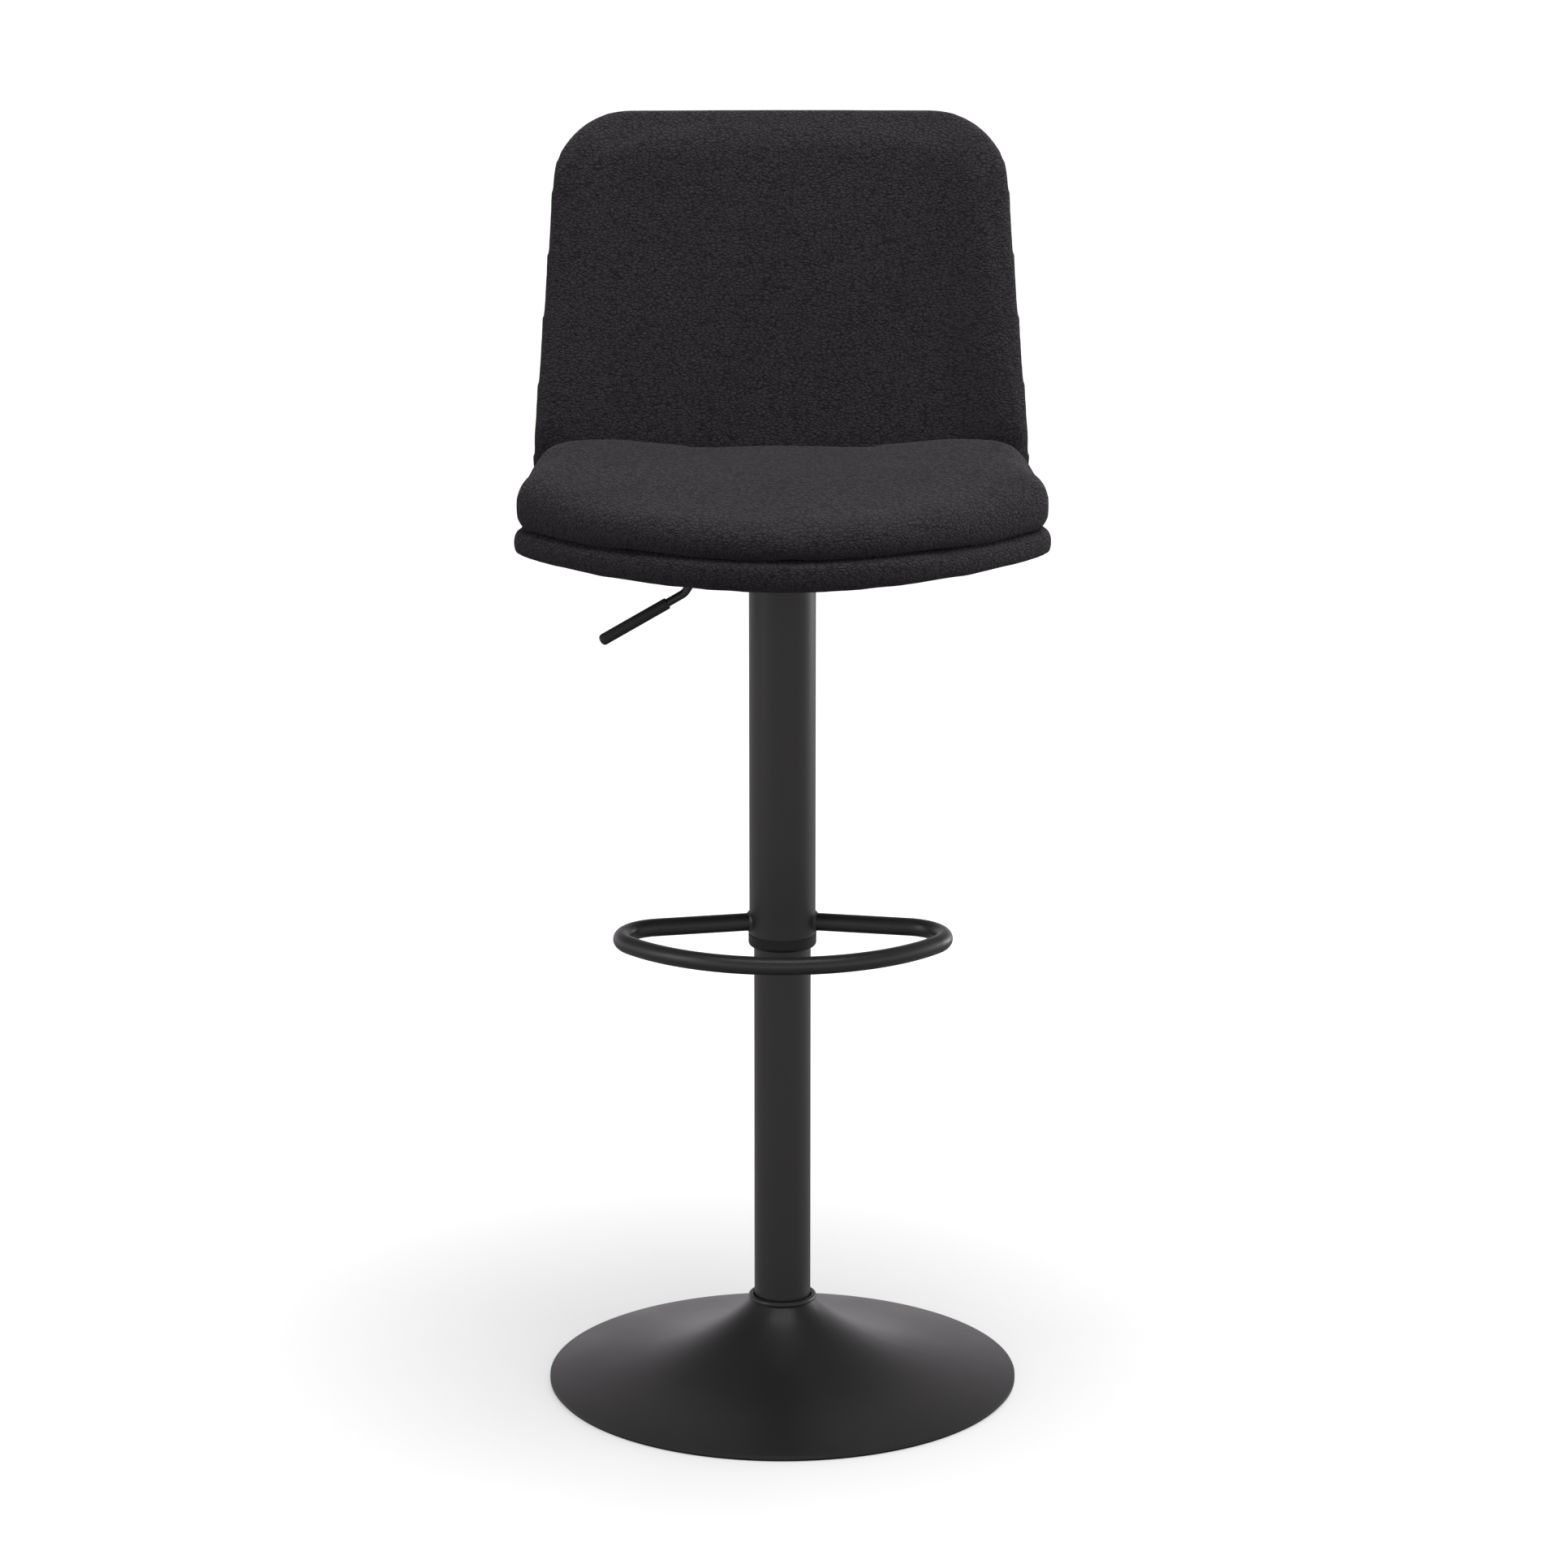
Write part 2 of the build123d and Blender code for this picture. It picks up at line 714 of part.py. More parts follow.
def back_face_y(height, across):
    """Y of the backrest's front face between its wings, across millimetres from the middle."""
    bow = back_radius - sqrt(back_radius**2 - across**2)
    return back_foot_y + (height - back_foot_height) * lean - bow / cos(radians(back_recline))


# Section of the back: a shallow arc between two tighter arcs that carry the wings forward
wing_turn = asin(wing_start / back_radius)
wing_centre_x = (back_radius - wing_radius) * sin(wing_turn)
wing_centre_y = (back_radius - wing_radius) * cos(wing_turn) - back_radius
wing_end = asin((back_foot_half_width - wing_centre_x) / (wing_radius + back_thickness))


def wing_point(behind, turn, side):
    """A point of a wing's section, behind the front face; side is -1 or 1."""
    reach = wing_radius + behind
    return (side * (wing_centre_x + reach * sin(turn)), wing_centre_y + reach * cos(turn))


def section_line(behind):
    """Inside a line: the back's section from wing tip to wing tip, behind its front face."""
    turns = (wing_end, (wing_end + wing_turn) / 2, wing_turn)
    right = [wing_point(behind, turn, 1) for turn in turns]
    left = [wing_point(behind, turn, -1) for turn in reversed(turns)]
    return (
        ThreePointArc(*right),
        ThreePointArc(right[-1], (0, behind), left[0]),
        ThreePointArc(*left),
    )


def back_band(behind, thickness):
    """Inside a sketch across the back: a band of its section that starts behind the front face."""
    with BuildLine() as drawn:
        near = section_line(behind)
        away = section_line(behind + thickness)
        Line(near[0] @ 0, away[0] @ 0)
        Line(near[-1] @ 1, away[-1] @ 1)
    make_face(drawn.edges())


def back_outline(bottom, inset):
    """Inside a front-view sketch: the backrest's outline above a height, drawn in by inset."""
    with BuildLine() as drawn:
        sides = FilletPolyline(
            (-back_foot_half_width, board_bottom),
            (-back_head_half_width, back_top),
            (back_head_half_width, back_top),
            (back_foot_half_width, board_bottom),
            radius=back_corner_radius,
        )
        Line(sides @ 1, sides @ 0)
    make_face(drawn.edges())
    if inset:
        offset(amount=-inset)
    with Locations((0, bottom - far)):
        Rectangle(2 * far, 2 * far, mode=Mode.SUBTRACT)


# ---------------------------------------------------------------- boards, brackets and screws

bracket_face_y = back_face_y(board_top, bracket_x + bracket_width / 2) + back_foam_front
bracket_low = board_top + bracket_wall / 2
bracket_back_y = bracket_face_y - moving_gap - bracket_wall / 2 + bracket_wall / 2 * lean
bracket_tip = (bracket_back_y + bracket_back_reach * lean, bracket_low + bracket_back_reach)
bracket_seat_screws = [
    (x, bracket_back_y - bracket_seat_reach + step)
    for x in (-bracket_x, bracket_x)
    for step in bracket_seat_screw_steps
]


def back_screw_planes():
    """Planes on the brackets' front faces where the screws enter the back board."""
    planes = []
    for x in (-bracket_x, bracket_x):
        for rise in bracket_back_screw_rises:
            y = bracket_back_y + rise * lean - bracket_wall / 2 / cos(radians(back_recline))
            origin = (x, y, bracket_low + rise)
            into_board = (0, back_direction[2], -back_direction[1])
            planes.append(Plane(origin=origin, x_dir=(1, 0, 0), z_dir=into_board))
    return planes


def drill_back_screws(radius):
    """Inside a part: cuts the back screws' holes."""
    drilled = bracket_wall + screw_length
    with Locations(*back_screw_planes()):
        Cylinder(radius, drilled, align=(Align.CENTER, Align.CENTER, Align.MIN), mode=Mode.SUBTRACT)


def bracket_profile(thickness):
    """Inside a side-view sketch: a strap's profile, from the seat board up the back board."""
    with BuildLine() as drawn:
        FilletPolyline(
            (bracket_back_y - bracket_seat_reach, bracket_low),
            (bracket_back_y, bracket_low),
            bracket_tip,
            radius=3 * bracket_wall,
        )
    trace(drawn.edges(), line_width=thickness)


tee_barrel_radius = seat_bolt_radius + 1.0
with BuildPart() as seat_board_blank:
    with BuildSketch(Plane.XY.offset(board_bottom)):
        seat_outline(board_inset)
    extrude(amount=board_wall)
    with BuildSketch(back_plane):
        back_band(-2 * board_inset, far)
    extrude(amount=far, mode=Mode.SUBTRACT)

with BuildPart() as seat_board:
    add(seat_board_blank.part)
    with BuildSketch(Plane.XY.offset(board_bottom)):
        with Locations(*seat_bolt_places):
            Circle(tee_barrel_radius)
    extrude(amount=board_wall, mode=Mode.SUBTRACT)
    with BuildSketch(Plane.XY.offset(board_top - screw_length + bracket_wall)):
        with Locations(*bracket_seat_screws):
            Circle(screw_radius)
    extrude(amount=screw_length, mode=Mode.SUBTRACT)
finish(seat_board, "seat_board")

with BuildPart() as back_board_blank:
    with BuildSketch(back_plane):
        back_band(back_foam_front, back_board_wall)
    extrude(amount=2 * far)
    with BuildSketch(Plane.XZ):
        back_outline(back_board_bottom, board_inset)
    extrude(amount=far, both=True, mode=Mode.INTERSECT)

with BuildPart() as back_board:
    add(back_board_blank.part)
    drill_back_screws(screw_radius)
finish(back_board, "back_board")

# Bent steel straps that tie the back board to the seat board
with BuildPart() as back_brackets:
    for x in (-bracket_x, bracket_x):
        with BuildSketch(Plane.YZ.offset(x)):
            bracket_profile(bracket_wall)
        extrude(amount=bracket_width / 2, both=True)
    with BuildSketch(Plane.XY.offset(board_top)):
        with Locations(*bracket_seat_screws):
            Circle(screw_radius + clearance)
    extrude(amount=bracket_wall, mode=Mode.SUBTRACT)
    drill_back_screws(screw_radius + clearance)
finish(back_brackets, "back_brackets")

screw_head_radius = 2 * screw_radius
screw_head_height = 2.0
with BuildPart() as bracket_screws:
    with BuildSketch(Plane.XY.offset(board_top + bracket_wall - screw_length)):
        with Locations(*bracket_seat_screws):
            Circle(screw_radius)
    extrude(amount=screw_length)
    with BuildSketch(Plane.XY.offset(board_top + bracket_wall)):
        with Locations(*bracket_seat_screws):
            Circle(screw_head_radius)
    extrude(amount=screw_head_height)
    for plane in back_screw_planes():
        with BuildSketch(plane):
            Circle(screw_radius)
        extrude(amount=screw_length)
        with BuildSketch(plane):
            Circle(screw_head_radius)
        extrude(amount=-screw_head_height)
finish(bracket_screws, "bracket_screws")

# Screws that hold the mechanism, their washers, and the tee nuts in the board
seat_bolt_head = 4.0
seat_bolt_head_radius = 5.0
seat_washer = 1.0
seat_washer_radius = 7.0
flange_bottom = mechanism_top - mechanism_wall
with BuildPart() as seat_bolts:
    with BuildSketch(Plane.XY.offset(flange_bottom - seat_washer - seat_bolt_head)):
        with Locations(*seat_bolt_places):
            RegularPolygon(seat_bolt_head_radius, 6, major_radius=False)
    extrude(amount=seat_bolt_head)
    with BuildSketch(Plane.XY.offset(flange_bottom - seat_washer)):
        with Locations(*seat_bolt_places):
            Circle(seat_bolt_radius)
    extrude(amount=seat_washer + mechanism_wall + dust_cover_wall + board_wall)
finish(seat_bolts, "seat_bolts")

with BuildPart() as seat_washers:
    with BuildSketch(Plane.XY.offset(flange_bottom - seat_washer)):
        with Locations(*seat_bolt_places):
            annulus(seat_washer_radius, seat_bolt_radius + clearance)
    extrude(amount=seat_washer)
finish(seat_washers, "seat_washers")

tee_barrel_length = 9.0
tee_flange_radius = 9.0
with BuildPart() as tee_nuts:
    with BuildSketch(Plane.XY.offset(board_top - tee_barrel_length)):
        with Locations(*seat_bolt_places):
            annulus(tee_barrel_radius, seat_bolt_radius)
    extrude(amount=tee_barrel_length)
    with BuildSketch(Plane.XY.offset(board_top)):
        with Locations(*seat_bolt_places):
            annulus(tee_flange_radius, seat_bolt_radius)
    extrude(amount=tee_nut_flange)
finish(tee_nuts, "tee_nuts")

with BuildPart() as dust_cover:
    with BuildSketch(Plane.XY.offset(mechanism_top)):
        seat_outline(board_inset + dust_cover_setback)
        with Locations(*seat_bolt_places):
            Circle(seat_bolt_radius + clearance, mode=Mode.SUBTRACT)
    extrude(amount=dust_cover_wall)
    with BuildSketch(back_plane):
        back_band(-2 * board_inset - dust_cover_setback, far)
    extrude(amount=far, mode=Mode.SUBTRACT)
finish(dust_cover, "dust_cover")

# ---------------------------------------------------------------- upholstery

pan_edge_radius = 9.0
back_edge_radius = 8.0
cushion_top_round = 14.0
cushion_foot_round = 5.0
strap_gap = 1.0

# Room for the straps and their screw heads in the foam
with BuildPart() as strap_room:
    for x in (-bracket_x, bracket_x):
        with BuildSketch(Plane.YZ.offset(x)):
            bracket_profile(bracket_wall + 2 * (screw_head_height + strap_gap))
        extrude(amount=bracket_width / 2 + strap_gap, both=True)
buried = (seat_board_blank, back_board_blank, strap_room, tee_nuts)

# Upholstered rim and deck around the seat board
with BuildPart() as pan_pad:
    with BuildSketch(Plane.XY.offset(board_bottom)):
        seat_outline(0)
    extrude(amount=pan_thickness)
    fillet(pan_pad.edges().filter_by(GeomType.CIRCLE), pan_edge_radius)
    with BuildSketch(back_plane):
        back_band(0, far)
    extrude(amount=far, mode=Mode.SUBTRACT)
    for piece in buried:
        add(piece.part, mode=Mode.SUBTRACT)
finish(pan_pad, "pan_pad")



def section_rim(piece, *radii):
    """The edges around a part's cylindrical faces of these radii, without the seams between them."""
    edges = [
        edge
        for face in piece.faces().filter_by(GeomType.CYLINDER)
        if any(abs(face.radius - radius) < clearance for radius in radii)
        for edge in face.edges()
    ]
    return [edge for edge in edges if sum(edge.is_same(other) for other in edges) == 1]


# Upholstered backrest, hollow side forward, its wings standing on the pan's rear corners
with BuildPart() as back_pad:
    with BuildSketch(back_plane):
        back_band(0, back_thickness)
    extrude(amount=2 * far)
    with BuildSketch(Plane.XZ):
        back_outline(board_bottom, 0)
    extrude(amount=far, both=True, mode=Mode.INTERSECT)
    front_rim = [
        edge
        for edge in section_rim(back_pad, back_radius, wing_radius)
        if edge.center().Z > board_top
    ]
    rear_rim = section_rim(back_pad, back_radius + back_thickness, wing_radius + back_thickness)
    fillet(front_rim + rear_rim, back_edge_radius)
    for piece in buried:
        add(piece.part, mode=Mode.SUBTRACT)
finish(back_pad, "back_pad")

# Loose seat cushion on the pan, stopping short of the backrest
with BuildPart() as seat_cushion:
    with BuildSketch(Plane.XY.offset(cushion_bottom)):
        seat_outline(cushion_inset)
    extrude(amount=cushion_thickness)
    with BuildSketch(back_plane):
        back_band(-cushion_setback, far)
    extrude(amount=far, mode=Mode.SUBTRACT)
    fillet(seat_cushion.edges().group_by(Axis.Z)[-1], cushion_top_round)
    fillet(seat_cushion.edges().group_by(Axis.Z)[0], cushion_foot_round)
finish(seat_cushion, "seat_cushion")
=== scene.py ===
import json
import math

import bmesh
import bpy
import numpy as np
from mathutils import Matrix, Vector


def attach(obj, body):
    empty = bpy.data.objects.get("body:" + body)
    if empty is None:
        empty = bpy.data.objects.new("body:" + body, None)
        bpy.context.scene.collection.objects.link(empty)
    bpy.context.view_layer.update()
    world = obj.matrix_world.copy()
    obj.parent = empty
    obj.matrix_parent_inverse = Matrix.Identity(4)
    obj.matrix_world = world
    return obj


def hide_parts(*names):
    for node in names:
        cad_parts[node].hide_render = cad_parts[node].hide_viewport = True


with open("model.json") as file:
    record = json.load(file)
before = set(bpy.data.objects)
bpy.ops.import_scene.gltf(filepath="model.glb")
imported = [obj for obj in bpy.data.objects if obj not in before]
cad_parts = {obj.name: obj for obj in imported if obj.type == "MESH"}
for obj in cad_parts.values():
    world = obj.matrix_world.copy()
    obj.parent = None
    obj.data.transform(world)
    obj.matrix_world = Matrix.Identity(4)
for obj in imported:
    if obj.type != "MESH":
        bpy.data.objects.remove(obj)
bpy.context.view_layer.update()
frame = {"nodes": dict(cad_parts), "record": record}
nodes = frame["nodes"]

# Plan and heights of the seat in metres: the frame's, and the millimetres by which the cover stands out
PAN_BOTTOM = 0.7736
PAN_TOP = 0.7982
SEAT_FRONT = 0.214
SEAT_HALF_WIDTH = 0.236
BROW_RADIUS = 0.190
BROW_TURN = math.radians(33.5)
SHOULDER = (0.2298, -0.052)
WIDEST_Y = -0.019
FLANK_END = (0.2245, 0.165)

# Backrest: where it starts, how it leans, and its curved section with a tighter wing at each side
BACK_TOP = 1.1342
BACK_FOOT = (0.132, 0.838)
RECLINE = math.radians(14.0)
BACK_THICKNESS = 0.034
BACK_RADIUS = 1.400
WING_START = 0.130
WING_RADIUS = 0.100
BACK_FOOT_LEVEL = 0.774
BACK_FOOT_HALF = 0.2262
BACK_HEAD_HALF = 0.1975
BACK_CORNER = 0.067
BEND_RADIUS = 0.045
BACK_SLOPE = (BACK_FOOT_HALF - BACK_HEAD_HALF) / (BACK_TOP - BACK_FOOT_LEVEL)

# How the foam gives: the pan hangs down at its sides, the back thins out towards its edge
TOP_DROOP = 0.0055
BOTTOM_DROOP = 0.0020
DROOP_START = 0.07
DROOP_END = 0.22
PILLOW_DROP = 0.013
PILLOW_REACH = 0.043
PAN_RIM = 0.008

# Cushion
CUSHION_BOTTOM = 0.7988
CUSHION_MIDDLE = 0.8375
CUSHION_RIM = 0.019
CUSHION_INSET = 0.002
CUSHION_SADDLE = 0.011
CUSHION_FRONT_DROP = 0.013
CUSHION_CROWN = 0.003
CUSHION_REAR_GAP = 0.012
LEVEL_SKEW = 1.3

# Covers
VOXEL = 0.0045
PRESSURE = 4.0
CLOTH_FRAMES = 20
CLOTH_STIFFNESS = 15.0


# ---------------------------------------------------------------- node materials


class Shader:
    """A material's node tree, built up one node at a time."""

    def __init__(self, name):
        self.material = bpy.data.materials.new(name)
        self.material.use_nodes = True
        self.tree = self.material.node_tree
        self.surface = self.tree.nodes["Principled BSDF"]
        self.place = self.node("ShaderNodeTexCoord").outputs["Object"]

    def node(self, kind, inputs=None, **settings):
        made = self.tree.nodes.new(kind)
        for key, value in settings.items():
            setattr(made, key, value)
        for key, value in (inputs or {}).items():
            self.feed(made.inputs[key], value)
        return made

    def feed(self, socket, value):
        if isinstance(value, bpy.types.NodeSocket):
            self.tree.links.new(value, socket)
        else:
            socket.default_value = value

    def stretched(self, scale):
        return self.node("ShaderNodeMapping", {"Vector": self.place, "Scale": scale}).outputs[0]

    def noise(self, scale, detail=3.0, rough=0.55, place=None, distortion=0.0):
        inputs = {
            "Vector": place or self.place,
            "Scale": scale,
            "Detail": detail,
            "Roughness": rough,
            "Distortion": distortion,
        }
        return self.node("ShaderNodeTexNoise", inputs).outputs["Fac"]

    def cells(self, scale, place=None, feature="SMOOTH_F1"):
        inputs = {"Vector": place or self.place, "Scale": scale}
        return self.node("ShaderNodeTexVoronoi", inputs, feature=feature).outputs["Distance"]

    def sum(self, *terms):
        """Adds up (socket, weight) pairs."""
        total = None
        for socket, weight in terms:
            part = self.node("ShaderNodeMath", {0: socket, 1: weight}, operation="MULTIPLY").outputs[0]
            if total is not None:
                part = self.node("ShaderNodeMath", {0: total, 1: part}).outputs[0]
            total = part
        return total

    def spread(self, socket, low, high, to_low=0.0, to_high=1.0):
        inputs = {0: socket, 1: low, 2: high, 3: to_low, 4: to_high}
        return self.node("ShaderNodeMapRange", inputs).outputs[0]

    def blend(self, amount, first, second):
        made = self.node("ShaderNodeMix", data_type="RGBA")
        for socket, value in ((0, amount), (6, first), (7, second)):
            self.feed(made.inputs[socket], value)
        return made.outputs[2]

    def bump(self, height, strength, distance):
        inputs = {"Height": height, "Strength": strength, "Distance": distance}
        self.feed(self.surface.inputs["Normal"], self.node("ShaderNodeBump", inputs).outputs[0])

    def set(self, **values):
        for key, value in values.items():
            self.feed(self.surface.inputs[key.replace("_", " ")], value)


def grey(level, warm=0.0):
    """A linear colour of an even grey, a little redder or bluer with warm."""
    return (level * (1 + warm), level, level * (1 - warm), 1.0)


def lilac(level):
    """A linear grey with the faint violet cast of the studio's light."""
    return (level * 1.01, level * 0.96, level * 1.01, 1.0)


def upholstery():
    """Dark charcoal crepe: nubs a few millimetres long, parted by thin bent creases, over a fine grain,
    with painted shade in the creases and painted light on the tops of the nubs.
    """
    m = Shader("upholstery")
    wander = m.node("ShaderNodeTexNoise", {"Vector": m.place, "Scale": 190.0, "Detail": 2.0})
    straight = m.stretched((230.0, 150.0, 400.0))
    shift = {0: wander.outputs["Color"], 1: (1.1, 1.1, 1.1), 2: straight}
    bent = m.node("ShaderNodeVectorMath", shift, operation="MULTIPLY_ADD").outputs[0]
    crease = m.cells(1.0, bent, "DISTANCE_TO_EDGE")
    ridges = m.spread(crease, 0.0, 0.18)
    nubs = m.cells(520.0)
    fine = m.noise(1500.0, 2.0)
    height = m.sum((ridges, 1.0), (nubs, -0.3), (fine, 0.2), (m.noise(60.0, 2.0), 0.5))
    # Painted shade and light: the colour follows the bump height, deepest in the creases and palest on the
    # tops of the nubs.
    tip_light_crease_shade = m.spread(m.sum((ridges, 1.0), (nubs, -0.3), (fine, 0.2)), -0.1, 1.05)
    crease_shade_colour, light = (0.0070, 0.0064, 0.0072, 1.0), (0.0315, 0.0287, 0.0320, 1.0)
    patchy = m.blend(m.spread(m.noise(9.0), 0.3, 0.7), (0.9, 0.9, 0.92, 1.0), (1.08, 1.06, 1.04, 1.0))
    mixed = m.node("ShaderNodeMix", data_type="RGBA", blend_type="MULTIPLY")
    m.feed(mixed.inputs[0], 1.0)
    m.feed(mixed.inputs[6], m.blend(tip_light_crease_shade, crease_shade_colour, light))
    m.feed(mixed.inputs[7], patchy)
    m.set(Base_Color=mixed.outputs[2], Roughness=m.spread(fine, 0.3, 0.7, 0.86, 0.98))
    m.set(Sheen_Weight=0.12, Sheen_Roughness=0.5, Sheen_Tint=(0.85, 0.8, 0.86, 1.0))
    m.set(Specular_IOR_Level=0.15)
    m.bump(height, 0.9, 0.0011)
    return m.material


def powder_coat(name, level=0.012, rough=0.42):
    """Satin black powder coat: fine orange peel, a little dust in it, faint rubbing marks."""
    m = Shader(name)
    peel = m.noise(700.0, 2.0)
    specks = m.noise(2600.0, 1.0)
    cloud = m.noise(14.0, 4.0)
    colour = m.blend(m.spread(cloud, 0.3, 0.7), grey(level * 0.9, 0.02), grey(level * 1.15, 0.03))
    worn = m.sum((cloud, 0.7), (specks, 0.3))
    m.set(Base_Color=colour, Roughness=m.spread(worn, 0.3, 0.7, rough - 0.05, rough + 0.07))
    m.set(Specular_IOR_Level=0.65, Coat_Weight=0.8, Coat_Roughness=0.36)
    m.bump(m.sum((peel, 1.0), (specks, 0.35)), 0.16, 0.0004)
    return m.material


def metal(name, colour, rough, brushed=(1.0, 1.0, 1.0)):
    """Bare or plated metal with drawn or turned marks along one direction."""
    m = Shader(name)
    marks = m.noise(300.0, 4.0, 0.7, m.stretched(brushed))
    cloud = m.noise(40.0, 3.0)
    darker = tuple(0.72 * part for part in colour[:3]) + (1.0,)
    m.set(Base_Color=m.blend(m.spread(cloud, 0.25, 0.75), darker, colour), Metallic=1.0)
    m.set(Roughness=m.spread(m.sum((marks, 0.6), (cloud, 0.4)), 0.3, 0.7, rough - 0.08, rough + 0.12))
    m.bump(marks, 0.2, 0.0002)
    return m.material


def moulded(name, level, rough):
    """Moulded plastic or rubber with a fine spark-eroded texture."""
    m = Shader(name)
    grain = m.noise(1300.0, 2.0)
    cloud = m.noise(25.0, 3.0)
    m.set(Base_Color=m.blend(m.spread(cloud, 0.3, 0.7), grey(level * 0.85), grey(level * 1.2)))
    m.set(Roughness=m.spread(grain, 0.3, 0.7, rough - 0.08, rough + 0.08))
    m.bump(m.sum((grain, 1.0), (m.noise(90.0), 0.4)), 0.25, 0.0003)
    return m.material


def plywood():
    """Pale veneer with long grain on its faces and glue lines on its edges."""
    m = Shader("plywood")
    grain = m.noise(1.0, 6.0, 0.65, m.stretched((14.0, 160.0, 160.0)), 0.6)
    plies = m.node("ShaderNodeTexWave", {"Vector": m.place, "Scale": 210.0}, bands_direction="Z")
    figure = m.sum((grain, 0.8), (plies.outputs["Fac"], 0.2))
    pale, brown = (0.52, 0.36, 0.20, 1.0), (0.30, 0.18, 0.085, 1.0)
    m.set(Base_Color=m.blend(m.spread(figure, 0.3, 0.7), pale, brown), Roughness=0.7)
    m.bump(grain, 0.2, 0.0004)
    return m.material


def dust_cloth():
    """Thin black non-woven cloth with its thermal-bonded dots."""
    m = Shader("dust_cloth")
    dots = m.cells(600.0, feature="F1")
    fibres = m.noise(1.0, 3.0, 0.7, m.stretched((500.0, 900.0, 500.0)), 1.5)
    height = m.sum((dots, 1.0), (fibres, 0.5))
    m.set(Base_Color=m.blend(m.spread(height, 0.3, 0.9), grey(0.006), grey(0.02)), Roughness=0.9)
    m.set(Sheen_Weight=0.2)
    m.bump(height, 0.5, 0.0005)
    return m.material


FINISHES = {
    "base_paint": powder_coat("base_paint", 0.010, 0.40),
    "column_paint": powder_coat("column_paint", 0.013, 0.44),
    "rubber": moulded("rubber", 0.012, 0.75),
    "plain_steel": metal("plain_steel", (0.42, 0.41, 0.40, 1.0), 0.42, (1.0, 1.0, 0.08)),
    "zinc_steel": metal("zinc_steel", (0.62, 0.63, 0.66, 1.0), 0.34),
    "bright_steel": metal("bright_steel", (0.70, 0.70, 0.71, 1.0), 0.16, (0.1, 0.1, 1.0)),
    "cylinder_steel": powder_coat("cylinder_steel", 0.008, 0.28),
    "aluminium": metal("aluminium", (0.78, 0.78, 0.79, 1.0), 0.32, (0.1, 0.1, 1.0)),
    "black_plastic": moulded("black_plastic", 0.014, 0.42),
    "grip_plastic": moulded("grip_plastic", 0.030, 0.50),
    "plywood": plywood(),
    "dust_cloth": dust_cloth(),
    "upholstery": upholstery(),
}


def dress_cad():
    """Gives each CAD node the material of its slot in the record."""
    for row in frame["record"]["subparts"]:
        piece = nodes[row["node"]]
        for index in range(len(piece.data.materials)):
            piece.data.materials[index] = FINISHES[row["material_slot"]]


# ---------------------------------------------------------------- outlines


def rotated(vector, angle):
    """A flat vector turned counter-clockwise."""
    cos, sin = math.cos(angle), math.sin(angle)
    return np.array([vector[0] * cos - vector[1] * sin, vector[0] * sin + vector[1] * cos])


def tangent_arc(start, direction, end, count):
    """Points of the arc that leaves start along direction and ends at end, and its last direction."""
    start, end = np.array(start), np.array(end)
    direction = np.array(direction) / np.linalg.norm(direction)
    chord = end - start
    normal = np.array([-direction[1], direction[0]])
    radius = chord @ chord / (2 * (chord @ normal))
    centre = start + radius * normal
    turn = 2 * math.atan2(chord @ normal, chord @ direction)
    points = np.array([centre + rotated(start - centre, angle) for angle in np.linspace(0, turn, count)])
    return points, rotated(direction, turn)


def seat_side():
    """The right half of the seat's plan outline, from the middle of the front to the rear."""
    brow = (BROW_RADIUS * math.sin(BROW_TURN), BROW_RADIUS * (1 - math.cos(BROW_TURN)) - SEAT_FRONT)
    points, direction = [], (1.0, 0.0)
    start = (0.0, -SEAT_FRONT)
    for end in (brow, SHOULDER, (SEAT_HALF_WIDTH, WIDEST_Y), FLANK_END):
        arc, direction = tangent_arc(start, direction, end, 60)
        points.extend(arc[:-1])
        start = end
    points.append(np.array(end))
    return np.array(points)


def outward(line):
    """Unit normals that point away from the shape, for an open line with the shape on its left."""
    along = np.gradient(line, axis=0)
    along /= np.linalg.norm(along, axis=1)[:, None]
    return np.stack([along[:, 1], -along[:, 0]], 1)


def resampled(line, count):
    """The line with count points evenly along it."""
    steps = np.r_[0, np.cumsum(np.linalg.norm(np.diff(line, axis=0), axis=1))]
    at = np.linspace(0, steps[-1], count)
    return np.stack([np.interp(at, steps, line[:, k]) for k in (0, 1)], 1)


def smoothstep(low, high, value):
    t = np.clip((value - low) / (high - low), 0, 1)
    return t * t * (3 - 2 * t)


def droop(x, level):
    """How far the pan's top (level 1) or underside (level -1) hangs down towards its sides."""
    mean, split = (TOP_DROOP + BOTTOM_DROOP) / 2, (TOP_DROOP - BOTTOM_DROOP) / 2
    return (mean + level * split) * smoothstep(DROOP_START, DROOP_END, np.abs(x))


def pillow(x, z):
    """How much the back's foam thins out towards its sides and top, at a place seen from the front."""
    top = BACK_TOP - z
    side = BACK_FOOT_HALF - BACK_SLOPE * (z - BACK_FOOT_LEVEL) - np.abs(x)
    inner = np.hypot(np.maximum(PILLOW_REACH - top, 0), np.maximum(PILLOW_REACH - side, 0))
    return PILLOW_DROP * smoothstep(0, 1, inner / PILLOW_REACH)


# ---------------------------------------------------------------- padded forms


